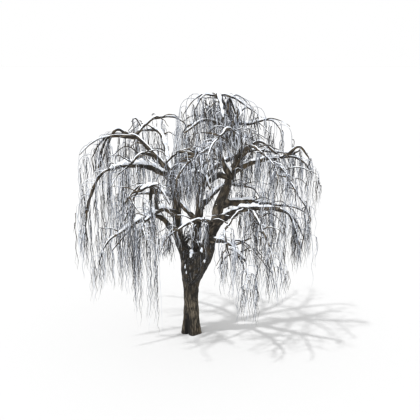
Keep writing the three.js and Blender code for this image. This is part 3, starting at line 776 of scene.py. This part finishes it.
def bark_finish(name, dark, brownness, frost_share, streak_share, pale_foot_and_shade_share):
    """Furrowed bark: black in the furrows, partly its own colour and partly painted shade, brown in patches,
    with frost on its weather side, painted shade below the fork and paler plates at the foot.
    """
    made = Finish(name)
    height = made.node("Attribute", {"attribute_name": "height"}, {})["Fac"]
    place = made.node("TexCoord", {}, {})["Object"]
    rise = made.node("SeparateXYZ", {}, {"Vector": place})["Z"]
    grain = made.noise(38, 8)
    patch = made.noise(2.2, 3)
    # The colour follows the bark's height: black in the furrows and light on the plates, partly the bark's
    # own colour and partly painted shade in the furrows
    stops = [
        (0.2, tone(0.006, 0.005, 0.004, dark)),
        (0.5, tone(0.028, 0.023, 0.017, dark)),
        (0.68, tone(0.075, 0.062, 0.045, dark)),
        (0.9, tone(0.24, 0.2, 0.15, dark)),
    ]
    bark = made.node("ValToRGB", {"stops": stops}, {"Fac": height * 0.62 + grain * 0.42})["Color"]
    bark = made.mixed(patch.between(0.5, 0.7) * brownness, bark, tone(0.085, 0.062, 0.036, dark))

    # Painted shade darkens the bark below the fork; at the foot its plates are paler, with a ragged edge
    # between them
    ragged = rise + patch * 0.9 - 0.45
    shaded = ragged.between(*DARK_FROM) * (1 - rise.between(*DARK_TO)) * pale_foot_and_shade_share
    shaded = shaded * (1 - patch.between(0.45, 0.62) * 0.7)
    pale_foot = (1 - ragged.between(*PALE_TO)) * (ragged.between(*PALE_FROM) * 0.75 + 0.25)
    pale_foot = pale_foot * grain.between(0.35, 0.6) * height.between(0.1, 0.7) * pale_foot_and_shade_share
    bark = made.mixed(shaded, bark, tone(0.012, 0.01, 0.008))
    bark = made.mixed(pale_foot, bark, tone(0.2, 0.165, 0.12))

    # Frost where the bark faces up and to the left, and streaks of blown snow
    facing = made.node("NewGeometry", {}, {})["Normal"]
    split = made.node("SeparateXYZ", {}, {"Vector": facing})
    windward = split["Z"] * 0.8 - split["X"] * 0.18
    frost = (windward + grain * 1.1 - height * 0.25).between(1.15, 1.35)
    drawn_out = made.node("VectorMath", {"operation": "MULTIPLY"}, {0: place, 1: STREAK_GRAIN})["Vector"]
    streak = made.noise(1, 2, drawn_out).between(0.62, 0.68)
    streak = streak * rise.between(*STREAKS_FROM) * (1 - rise.between(*STREAKS_TO))
    frost = frost + streak * streak_share
    colour = made.mixed(frost * frost_share, bark, tone(0.62, 0.68, 0.78))
    return made.finished(colour, 0.95 - frost * 0.25, grain + height * 0.5, 0.9, 0.02)


def snow_finish():
    """Snow, with patches of painted bluish shade laid by noise."""
    made = Finish("snow")
    grain = made.noise(55, 6)
    drift = made.noise(7, 3)
    colour = made.mixed(drift.between(0.3, 0.7), tone(0.8, 0.86, 0.95), tone(0.95, 0.96, 0.98))
    return made.finished(colour, 0.5 + grain * 0.3, grain + drift, 0.35, 0.01)


def twig_finish(name, dark, light, roughness):
    """The bark of twigs, dark and light in patches."""
    made = Finish(name)
    grain = made.noise(26, 3)
    patch = made.noise(2.6, 2)
    shade = patch * 0.75 + grain * 0.25
    colour = made.mixed(shade.between(0.35, 0.65), dark, light)
    return made.finished(colour, roughness, grain, 0.3, 0.003)


# Each finish of bark: how dark, how brown in patches, how frosted, how streaked, and how much painted shade
# it has below the fork and paleness at its foot
BARK = bark_finish("bark", 0.92, 0.6, 0.85, 0.35, 0.8)
YOUNG_BARK = bark_finish("young_bark", 1.0, 1.0, 0.28, 0, 0)
SNOW = snow_finish()
DARK = twig_finish("twig_dark", tone(0.012, 0.01, 0.008), tone(0.04, 0.034, 0.027), 0.85)
BROWN = twig_finish("twig_brown", tone(0.05, 0.044, 0.036), tone(0.12, 0.108, 0.092), 0.85)
FROSTED = twig_finish("twig_frosted", tone(0.16, 0.18, 0.22), tone(0.34, 0.365, 0.42), 0.7)
RIMED = twig_finish("twig_rimed", tone(0.54, 0.58, 0.65), tone(0.8, 0.83, 0.88), 0.65)
# The kinds of hanging twigs, the share of the strands that each has, and its finish
TWIG_KINDS = [
    ("twigs_dark", 0.52, DARK),
    ("twigs_brown", 0.12, BROWN),
    ("twigs_frosted", 0.18, FROSTED),
    ("twigs_rimed", 0.18, RIMED),
]

# The bark of the trunk, the stems, the boughs and the branches: corners round each, spacing of
# its rings, and how much stouter than its line a knotty limb is
TRUNK_SKIN = (112, 0.035)
STEM_SKIN = (48, 0.045)
BOUGH_SKIN = (20, 0.045)
BRANCH_SKIN = (8, 0.07)
BOUGH_STOUTNESS = 1.25
BRANCH_STOUTNESS = 1.15
trunk_line = np.array([(lean, 0, height, radius) for height, lean, radius in TRUNK])
trunk_bark, stem_bark, bough_bark = Heap(), Heap(), Heap()
stem_lines = [limbs[name] for name in STEMS]
skin(trunk_bark, trunk_line, *TRUNK_SKIN, stem_lines, 1, radius_at=trunk_radius, collar=FORK_COLLAR)
for number, name in enumerate(STEMS):
    neighbours = [trunk_line] + [limbs[other] for other in STEMS if other != name]
    skin(stem_bark, limbs[name], *STEM_SKIN, neighbours, number + 2, collar=FORK_COLLAR)
for number, (name, parent, *_) in enumerate(BOUGHS):
    line = limbs[name]
    limbs[name] = skin(bough_bark, line, *BOUGH_SKIN, [limbs[parent]], number + 6, stoutness=BOUGH_STOUTNESS)
trunk_bark.piece("trunk_bark", "bark", BARK, "trunk")
stem_bark.piece("stem_bark", "bark", BARK, *STEMS)
bough_bark.piece("bough_bark", "bark", YOUNG_BARK, *[name for name, *_ in BOUGHS])

# Twigs: limbs and their branches carry springs that arch out, strands hang from the springs, and
# finer wisps hang beside the strands. A pair below is a least value and how much is added to it
# by chance.
SPRING_SPACING = 0.8
SPRING_RADIUS = 0.012
SPRING_TURN = (35, 50)
SPRING_FALL = 0.85  # a spring ends this share of the way down to where its strands end
LEAST_FALL = 0.3
STRANDS_PER_SPRING = 3
STRAND_RADIUS = (0.011, 0.016)
STRAND_REACH = (0.02, 0.1)
STRANDS_FROM = (0.2, 0.8)
BEARING = SPRING_BENDS + 5  # strands hang from a spring's points up to this one
WISP_REACH = (0.04, 0.08)
WISP_FALL = (0.25, 0.7)
WISP_PAST = 0.05  # how far a wisp may hang lower than its strand
WISP_THICKNESS = 0.8
SIDE_RADIUS = 0.03
SIDE_BENDS = 8
SIDE_RISE = (0.06, 0.16)
SIDE_END = (0.1, -0.45)
SIDE_SHAKE = 0.014
branches = []
springs = []  # each twig is a line and its heading
strands, wisps = [[] for _ in TWIG_KINDS], [[] for _ in TWIG_KINDS]
SHARES = [share for _, share, _ in TWIG_KINDS]


def drawn(least, more):
    """A number from least up to as much as more above it."""
    return least + more * chance.random()


def fall_from(height, hem):
    """How far a twig hangs: down to the hem, or short of it by up to half the way."""
    return max(LEAST_FALL, (height - hem) * (1 - 0.5 * chance.random() ** 1.3))


def down_to(hem):
    """The same hem for all twigs of a branch."""
    return lambda share, height: hem


def hang_strand(root, fall, radius):
    """A strand from a spring, with a wisp beside its lower part."""
    kind = chance.choice(len(TWIG_KINDS), p=SHARES)
    heading = drawn(0, 360)
    reach = drawn(*STRAND_REACH)
    line = strand(root, heading, reach, fall, radius, STRAND_BENDS, STRAND_HANGS)
    strands[kind].append((line, heading))
    at = chance.integers(STRAND_BENDS + 1, STRAND_BENDS + STRAND_HANGS - WISP_HANGS)
    turn = drawn(0, 360)
    fall = min(drawn(*WISP_FALL), line[at, 2] - line[-1, 2] + WISP_PAST)
    reach = drawn(*WISP_REACH)
    radius = WISP_THICKNESS * line[at, 3]
    wisp = strand(line[at, :3], turn, reach, fall, radius, STRAND_BENDS, WISP_HANGS)
    wisps[kind].append((wisp, turn))


def spring_from(root, heading, reach, hem, radius):
    """A twig that springs out, arches over and hangs, with a bunch of strands down its length."""
    fall = fall_from(root[2], hem)
    line = strand(root, heading, reach, SPRING_FALL * fall, radius, SPRING_BENDS, SPRING_HANGS)
    springs.append((line, heading))
    for _ in range(STRANDS_PER_SPRING):
        at = point_on(line[:BEARING], drawn(*STRANDS_FROM))
        own_fall = fall - (root[2] - at[2])
        thickness = drawn(*STRAND_RADIUS)
        hang_strand(at[:3], max(LEAST_FALL, own_fall * (1 - 0.45 * chance.random() ** 1.5)), thickness)


def heading_at(line, share):
    """Which way a line runs at a share of its length, seen from above."""
    ahead = point_on(line, min(1, share + 0.05)) - point_on(line, max(0, share - 0.05))
    return math.degrees(math.atan2(ahead[1], ahead[0]))


def dress(bearer, start, end, reach, hem_at, fullness):
    """Springs along a bearer, left and right in turn."""
    run = lengths_along(bearer)[-1] * (end - start)
    count = max(1, round(fullness * run / SPRING_SPACING))
    for i in range(count):
        share = start + (end - start) * (i + chance.random()) / count
        root = point_on(bearer, share)
        heading = heading_at(bearer, share) + (-1) ** i * drawn(*SPRING_TURN)
        radius = min(SPRING_RADIUS, 0.6 * root[3])
        spring_from(root[:3], heading, reach * drawn(0.5, 1), hem_at(share, root[2]), radius)


def side_branch(parent, share, turn, reach):
    """A side branch leaves its limb, rises, arches over and comes down a little."""
    foot = point_on(parent, share)
    out = along(heading_at(parent, share) + turn)
    radius = min(0.6 * foot[3], SIDE_RADIUS)
    crest = foot[:3] + out * 0.5 * reach + UP * drawn(*SIDE_RISE) * reach
    tip = foot[:3] + out * reach + UP * drawn(*SIDE_END) * reach
    stations = [(*foot[:3], radius), (*crest, 0.7 * radius), (*tip, 0.35 * radius)]
    line = smooth(stations, SIDE_BENDS)
    line[1:, :3] += chance.normal(0, SIDE_SHAKE, (SIDE_BENDS, 3))
    line[:, :3] = held_in(line[:, :3])
    return line


# Where a limb's first twigs grow, as a share of its length
BARE_FOOT = {"low_left": 0.52, "mid_left": 0.55, "front_arch": 0.5, "low_right": 0.35, "foot_right": 0.55}
BARE_STEM = 0.5
BARE_BOUGH = 0.3
INNER_FALL = 0.9  # how far twigs hang near a limb's foot, in metres
LONG_FALL = {"low_left": 3.1, "low_back_left": 2.1, "low_back_right": 2.1}  # and under the lowest
BRANCHES_ON_STEM = 6
BRANCHES_ON_BOUGH = 4
SIDE_REACH = (0.9, 0.7)
SIDE_TURN = (40, 45)
TWIG_REACH = 0.22  # of the springs on limbs and side branches


def hem_along(start, hem, inner_fall):
    """A hem for the twigs of a limb: from near its foot down to the spray's hem at its end."""

    def hem_at(share, height):
        outer = max(0, (share - start) / (1 - start)) ** 0.8
        return height - inner_fall + outer * min(0, hem - height + inner_fall)

    return hem_at


# Twigs and side branches on the stems and boughs
for name, line in limbs.items():
    is_stem = name in STEMS
    start = BARE_FOOT.get(name, BARE_STEM if is_stem else BARE_BOUGH)
    grown = GROWTH[name]
    hem_at = hem_along(start, grown.hem, LONG_FALL.get(name, INNER_FALL))
    dress(line, start, 0.98, TWIG_REACH, hem_at, grown.twigs)
    count = BRANCHES_ON_STEM if is_stem else BRANCHES_ON_BOUGH
    for i in range(count):
        share = start + (0.95 - start) * (i + 0.3 + 0.5 * chance.random()) / count
        reach = drawn(*SIDE_REACH)
        branch = side_branch(line, share, (-1) ** i * drawn(*SIDE_TURN), reach)
        branches.append(branch)
        dress(branch, 0.25, 1, TWIG_REACH, lambda _, height: hem_at(share, height), grown.twigs)

# The branches that the limbs grow on into, with side arches: share of the stem and turn
SIDE_ARCHES = [
    (0.1, -40),
    (0.2, 62),
    (0.32, -28),
    (0.4, -55),
    (0.5, 38),
    (0.62, 22),
    (0.78, -48),
    (0.9, 50),
]
THIN = 0.3  # a branch less full than this has half as many side arches
ARCH_RADIUS = 0.014
ARCH_TWIG_REACH = 0.2
SPRAY_TWIG_REACH = 0.3
SPRAY_DROP = 0.4  # how far down to its hem a spray's own stem hangs on
SPRAY_POINT = 0.006  # the radius of its end
# Where that end leans out: by how much halfway and at its end, and the hem and fullness there
LEANS_OUT = {"mid_left": (0.14, 0.18, 3.6, 5.0)}
for name, (heading, stem) in spray_stems.items():
    grown = GROWTH[name]
    hem, fullness, stout = grown.hem, grown.end_twigs, grown.end_girth
    middle_lean, end_lean, drop_hem, drop_fullness = LEANS_OUT.get(name, (0, 0, hem, 0))
    end = stem[-1].copy()
    end[2:] = end[2] + SPRAY_DROP * (hem - end[2]), SPRAY_POINT
    middle = (stem[-1] + end) / 2
    middle[:2] += chance.normal(0, 0.1, 2) + middle_lean * along(heading)[:2]
    end[:2] += chance.normal(0, 0.12, 2) + end_lean * along(heading)[:2]
    stem_line = np.vstack([stem, middle, end])
    last = len(stem_line) - 1
    stem_line[:, 3] *= np.interp(np.arange(last + 1), [0, last - 3, last], [1, stout, 0.5 * stout])
    branches.append(smooth(stem_line, 2 * len(stem_line)))
    dress(stem, 0.05, 0.98, SPRAY_TWIG_REACH, down_to(hem), fullness)
    if drop_fullness:
        dress(stem_line[-3:], 0.2, 0.9, SPRAY_TWIG_REACH, down_to(drop_hem), drop_fullness)
    for at, turn in SIDE_ARCHES[:: 2 if fullness < THIN else 1]:
        root = point_on(stem, at)
        way = heading + turn + 20 * (chance.random() - 0.5)
        arch_reach = grown.reach * 0.6 * drawn(0.85, 0.3)
        fall = 0.8 * fall_from(root[2], hem)
        arch = strand(root[:3], way, arch_reach, fall, ARCH_RADIUS, SPRING_BENDS, SPRING_HANGS)
        springs.append((arch, way))
        dress(arch[: SPRING_BENDS + 2], 0.1, 1, ARCH_TWIG_REACH, down_to(hem), 0.8 * fullness)

# Arched branches that stand out: the limb, its share, the heading, reach, height of the crest and the
# crest's share, height of the tip, radius at the foot, how low its twigs hang, its snow and its twigs
ARCHES = [
    ("left_stem", 0.57, -15, 1.9, 8.15, 0.72, 7.35, 0.08, 5.7, 0.13, 3.5),
    ("left_stem", 0.6, -147, 0.74, 8.13, 0.56, 7.74, 0.05, 7.3, 0.12, 0.8),
    ("front_left", 0.66, -16, 1.07, 7.93, 0.49, 7.15, 0.045, 6.5, 0.1, 0.6),
    ("front_left", 0.62, -167, 1.33, 7.85, 0.38, 6.81, 0.06, 5.4, 0.03, 0.5),
    ("front_left", 0.62, -138, 1.35, 7.89, 0.34, 6.55, 0.055, 5.4, 0.02, 0.5),
    ("left_stem", 0.97, -175, 2.22, 9.52, 0.6, 8.8, 0.03, 7.2, 0.06, 0.8),
    ("left_stem", 0.9, -170, 1.81, 9.65, 0.74, 8.21, 0.1, 6.8, 0.02, 3.5),
    ("front_left", 0.4, -138, 0.35, 7.6, 0.5, 6.56, 0.085, 6.0, 0.03, 2.5),
    ("mid_right", 0.78, -75, 0.45, 8.9, 0.5, 8.4, 0.05, 6.6, 0.02, 6.0),
    ("mid_right", 0.95, -9, 1.21, 9.37, 0.53, 8.73, 0.07, 7.0, 0.04, 2.5),
    ("leader", 0.8, -164, 2.58, 10.6, 0.57, 10.03, 0.085, 8.0, 0.07, 3.0),
    ("leader", 0.63, -17, 2.02, 9.58, 0.53, 9.06, 0.085, 7.2, 0.06, 3.0),
    ("front_arch", 0.8, -166, 0.82, 9.34, 0.77, 8.63, 0.06, 7.4, 0.01, 4.0),
    ("low_left", 0.7, -165, 1.18, 5.53, 0.35, 4.67, 0.05, 2.6, 0.04, 0.4),
    ("high_left", 0.25, -171, 0.5, 10.5, 0.5, 10.35, 0.03, 9.6, 0.06, 0.8),
    ("front_left", 0.5, 148, 0.19, 7.66, 0.5, 6.55, 0.095, 6.1, 0.02, 1.5),
    ("front_hook", 0.97, -152, 0.54, 5.77, 0.61, 4.9, 0.06, 4.3, 0.03, 5.0),
    ("low_right", 0.97, -20, 1.19, 6.57, 0.58, 5.23, 0.085, 3.7, 0.05, 5.0),
    ("top_arch", 0.97, -169, 1.0, 11.68, 0.53, 10.91, 0.04, 9.5, 0.05, 4.0),
    ("front_arch", 0.95, -170, 1.21, 9.09, 0.45, 8.58, 0.12, 7.6, 0.0, 4.0),
    ("top_arch", 0.9, -70, 0.95, 11.7, 0.35, 10.7, 0.075, 9.3, 0.12, 3.0),
    ("leader", 0.84, -67, 0.76, 11.1, 0.6, 10.4, 0.085, 9.2, 0.07, 3.0),
    ("leader", 0.95, 0, 1.14, 11.72, 0.38, 11.2, 0.025, 9.8, 0.05, 2.2),
    ("leader", 0.87, 0, 1.37, 11.12, 0.45, 10.66, 0.025, 9.0, 0.05, 1.3),
    ("leader", 0.9, -157, 1.54, 11.16, 0.8, 10.81, 0.03, 9.3, 0.05, 2.0),
    ("leader", 0.7, -142, 1.97, 9.84, 0.53, 9.46, 0.05, 8.2, 0.07, 4.0),
    ("middle_stem", 0.5, -116, 0.56, 7.17, 0.5, 6.18, 0.03, 6.0, 0.05, 0.5),
    ("foot_right", 0.3, -20, 1.5, 4.95, 0.49, 5.3, 0.08, 4.3, 0.05, 0.6),
    ("foot_right", 0.45, -31, 1.37, 4.93, 0.3, 3.22, 0.04, 2.2, 0.02, 0.5),
    ("foot_right", 0.45, -8, 2.14, 5.07, 0.43, 3.67, 0.04, 2.4, 0.02, 0.4),
    ("left_stem", 0.2, -42, 0.74, 5.55, 0.65, 4.76, 0.03, 4.7, 0.06, 3.0),
    ("middle_stem", 0.22, -131, 0.53, 5.35, 0.3, 4.73, 0.03, 4.7, 0.06, 3.0),
    ("middle_stem", 0.12, 177, 0.62, 4.85, 0.5, 4.6, 0.1, 4.6, 0.03, 0.5),
    ("left_stem", 0.17, 10, 0.62, 4.82, 0.5, 4.55, 0.09, 4.5, 0.03, 0.5),
    ("front_arch", 0.35, -160, 1.2, 8.85, 0.5, 8.4, 0.05, 7.3, 0.02, 4.5),
    ("left_stem", 0.95, 176, 1.32, 9.94, 0.48, 8.41, 0.08, 7.4, 0.03, 0.9),
    ("mid_right", 0.6, 3, 1.67, 8.85, 0.52, 9.15, 0.08, 7.3, 0.05, 3.5),
    ("leader", 0.565, 171, 1.26, 7.95, 0.46, 7.35, 0.17, 6.9, 0.0, 0.6),
    ("front_arch", 0.95, 172, 1.4, 9.41, 0.55, 8.91, 0.08, 7.9, 0.0, 4.0),
    ("leader", 0.93, -40, 0.47, 11.55, 0.22, 10.87, 0.09, 10.2, 0.03, 4.0),
    ("leader", 0.57, 155, 1.2, 7.85, 0.5, 7.4, 0.085, 6.6, 0.13, 1.0),
    ("middle_stem", 0.58, 20, 0.9, 8.3, 0.5, 8.0, 0.04, 6.4, 0.06, 4.0),
    ("middle_stem", 0.5, 156, 1.21, 7.91, 0.63, 6.97, 0.04, 5.9, 0.05, 2.5),
    ("left_stem", 0.62, 28, 1.28, 8.01, 0.71, 7.34, 0.04, 6.2, 0.05, 2.5),
]
arch_lines = []
for number, (parent, at, *sizes, foot, hem, depth, fullness) in enumerate(ARCHES):
    heading, reach, crest, crest_at, tip = sizes
    carrier = limbs[parent]
    line = bough_line(carrier, at, heading, reach, crest, crest_at, 0, tip, foot, 0.4 * foot, number + 60)
    arch_lines.append((line, depth))
    branches.append(line)
    dress(line, 0.2, 1, ARCH_TWIG_REACH, down_to(hem), fullness)

# More snow, that clings to steep stretches too: the limb, from and to, and its depth
CLINGING_SNOW = [
    ("leader", 0.8, 0.99, 0.08),
    ("top_arch", 0.2, 0.97, 0.07),
    ("back_left", 0.1, 0.99, 0.1),
    ("front_arch", 0.02, 0.32, 0.14),
    ("low_left", 0.3, 0.98, 0.1),
]
CLING = 0.7  # how much of its depth snow keeps where it clings to a steep stretch
# Lumps of snow caught on the bark at the fork: x, z, and half their width, depth and height
FORK_SNOW = [
    (0.04, 4.2, 0.11, 0.09, 0.13),
    (0.0, 4.1, 0.06, 0.06, 0.12),
    (0.53, 4.4, 0.06, 0.06, 0.13),
    (0.37, 4.6, 0.12, 0.06, 0.04),
    (0.65, 3.86, 0.05, 0.05, 0.07),
    (-0.27, 3.56, 0.03, 0.03, 0.09),
    (-0.22, 3.26, 0.03, 0.03, 0.07),
]
# Snow on the limbs, the branches and the fork. Each kind starts at its own place in the noise.
LIMB_SNOW = 101
SPRAY_SNOW = 140
ARCH_SNOW = 180
CLING_SNOW = 220
SNOW_NODES = ("snow_low_right", "snow_mid_left", "snow_low_left")
IN_FRONT = -9  # a place in front of the tree
snow = Heap()
for number, (name, line) in enumerate(limbs.items()):
    snow_cap(snow, line, *GROWTH[name].snow, LIMB_SNOW + number)
for number, (name, (_, line)) in enumerate(spray_stems.items()):
    snow_cap(snow, line, 0.02, 0.9, GROWTH[name].end_snow, SPRAY_SNOW + number)
for number, (line, depth) in enumerate(arch_lines):
    snow_cap(snow, line, 0.03, 0.95, depth, ARCH_SNOW + number, CLING)
for name, *sizes in CLINGING_SNOW:
    snow_cap(snow, limbs[name], *sizes, CLING_SNOW, CLING)
trees = [trunk_bark.tree(), stem_bark.tree()]
for number, (x, z, *size) in enumerate(FORK_SNOW):
    hits = [tree.ray_cast(Vector((x, IN_FRONT, z)), Vector((0, 1, 0)))[0] for tree in trees]
    met = min((hit for hit in hits if hit is not None), key=lambda hit: hit.y)
    snow_lump(snow, met, size, number)
snow.piece("snow_caps", "snow", SNOW, *SNOW_NODES)

# The branches and twigs, in place of the solids' sprays
SNOWY_SPRING = 0.008  # a spring thinner than this at its root holds no snow
TWIG_SIDES = 3
spray_nodes = ["spray_" + name for name in GROWTH]
branch_bark, branch_snow, spring_twigs = Heap(), Heap(), Heap()
for number, line in enumerate(branches):
    skin(branch_bark, line, *BRANCH_SKIN, [], number + 40, stoutness=BRANCH_STOUTNESS)
    snow_ridge(branch_snow, line, 0.1, 0.95, number)
for number, (line, _) in enumerate(springs):
    if line[0, 3] > SNOWY_SPRING and number % 2:
        snow_ridge(branch_snow, line[: SPRING_BENDS + 1], 0, 1, number)
strands_into(spring_twigs, springs, TWIG_SIDES)
branch_bark.piece("branch_bark", "bark", YOUNG_BARK, *spray_nodes)
branch_snow.piece("branch_snow", "snow", SNOW)
spring_twigs.piece("spring_twigs", "twigs", FROSTED, *spray_nodes, shades=False)
for kind, (name, _, finish) in enumerate(TWIG_KINDS):
    heap = Heap()
    strands_into(heap, strands[kind], TWIG_SIDES)
    strands_into(heap, wisps[kind], TWIG_SIDES)
    heap.piece(name, "twigs", finish, *spray_nodes, shades=False)

# Floor and light
FLOOR_HALF = 400
FLOOR_TONE = tone(0.61, 0.61, 0.61)
SUN_WAY = Vector((0.4, 0.2, -1.0))
SUN_STRENGTH = 2.25
SUN_WIDTH = math.radians(2.4)  # how soft the shadow's edges are
SKY_STRENGTH = 1
PIXEL_BLEND = 1.4  # how widely the picture blends what lies on a pixel's edge, in pixels

floor_mesh = bpy.data.meshes.new("floor")
corners = [(x * FLOOR_HALF, y * FLOOR_HALF, 0) for x, y in ((-1, -1), (1, -1), (1, 1), (-1, 1))]
floor_mesh.from_pydata(corners, [], [(0, 1, 2, 3)])
floor = placed("floor", floor_mesh)
floor_finish = Finish("pale_floor")
floor_finish.fill(floor_finish.shader, {"Base Color": FLOOR_TONE, "Roughness": 1})
floor_mesh.materials.append(floor_finish.material)

sun = placed("sun", bpy.data.lights.new("sun", "SUN"))
sun.data.energy = SUN_STRENGTH
sun.data.angle = SUN_WIDTH
sun.rotation_euler = SUN_WAY.to_track_quat("-Z", "Y").to_euler()

sky = bpy.data.worlds.new("studio")
sky.use_nodes = True
sky.node_tree.nodes["Background"].inputs["Color"].default_value = tone(1, 1, 1)
sky.node_tree.nodes["Background"].inputs["Strength"].default_value = SKY_STRENGTH
bpy.context.scene.world = sky
bpy.context.scene.view_settings.view_transform = "Standard"
bpy.context.scene.cycles.filter_width = PIXEL_BLEND
